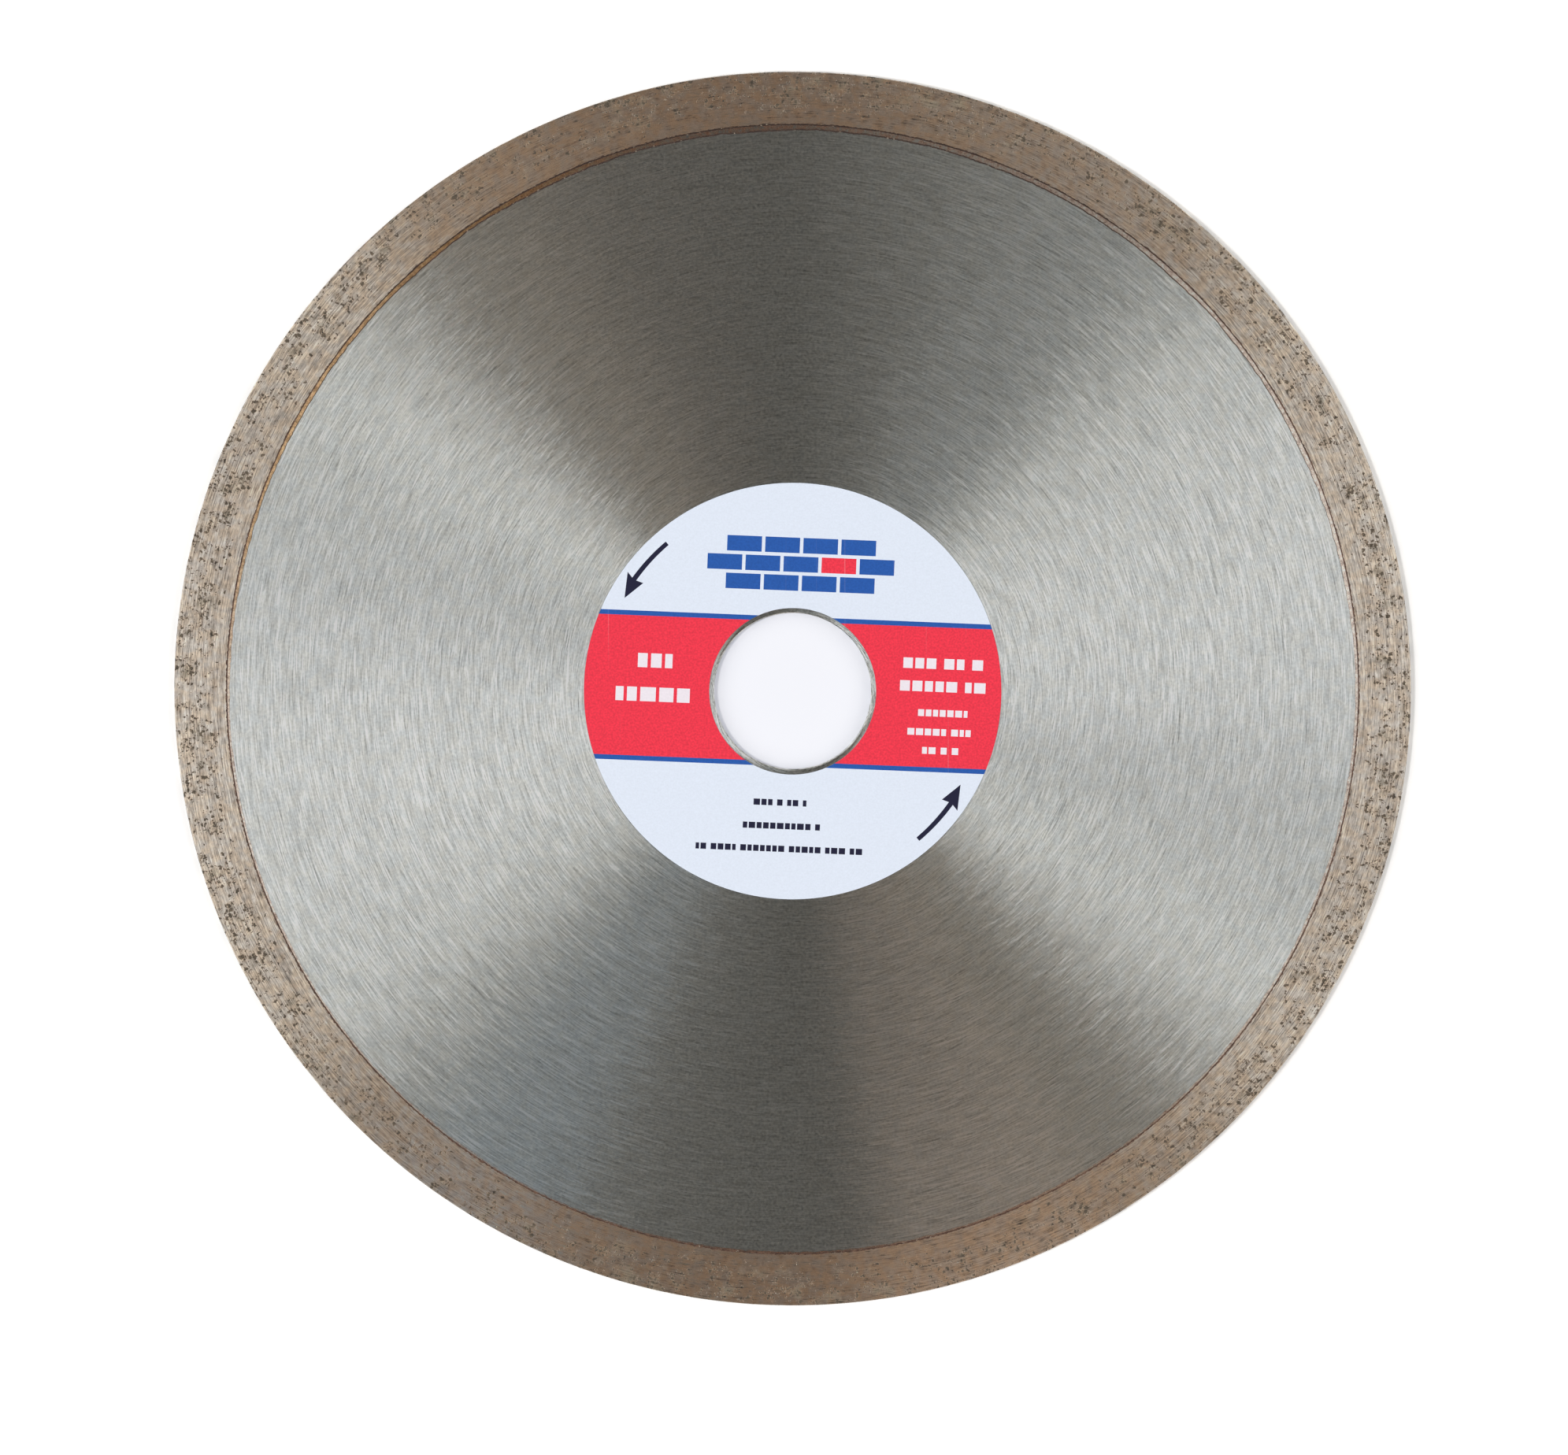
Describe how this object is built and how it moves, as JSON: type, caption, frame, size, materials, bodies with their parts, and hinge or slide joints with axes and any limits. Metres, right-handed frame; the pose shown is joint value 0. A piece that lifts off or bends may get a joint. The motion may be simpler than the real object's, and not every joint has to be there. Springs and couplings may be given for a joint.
{
  "type": "diamond blade",
  "caption": "Flat diamond saw blade with a steel core, a continuous sintered rim and a round arbor hole, for wet or dry cutting of tile and stone.",
  "frame": {"origin": "on the arbor axis, in the plane of the rim's underside, on which the blade lies", "axes": "+Z along the arbor axis, out of the labelled face; +X to the right and +Y up when the label is read"},
  "size_m": [0.2, 0.2, 0.002],
  "materials": {
    "core_steel": "ground round the axis in fine streaks",
    "base_bronze": "sintered and ground, with a coppery fin",
    "bond_bronze": "sintered and ground, pitted where grains were pulled out",
    "diamond": "blocky crystals ground flush",
    "adhesive": "thin tacky film",
    "label_paper": "satin printed paper"
  },
  "bodies": {
    "root": {"steel_core": "core_steel", "rim_base": "base_bronze", "diamond_rim": "bond_bronze", "diamond_grit": "diamond", "label_adhesive": "adhesive", "label": "label_paper"}
  },
  "joints": []
}
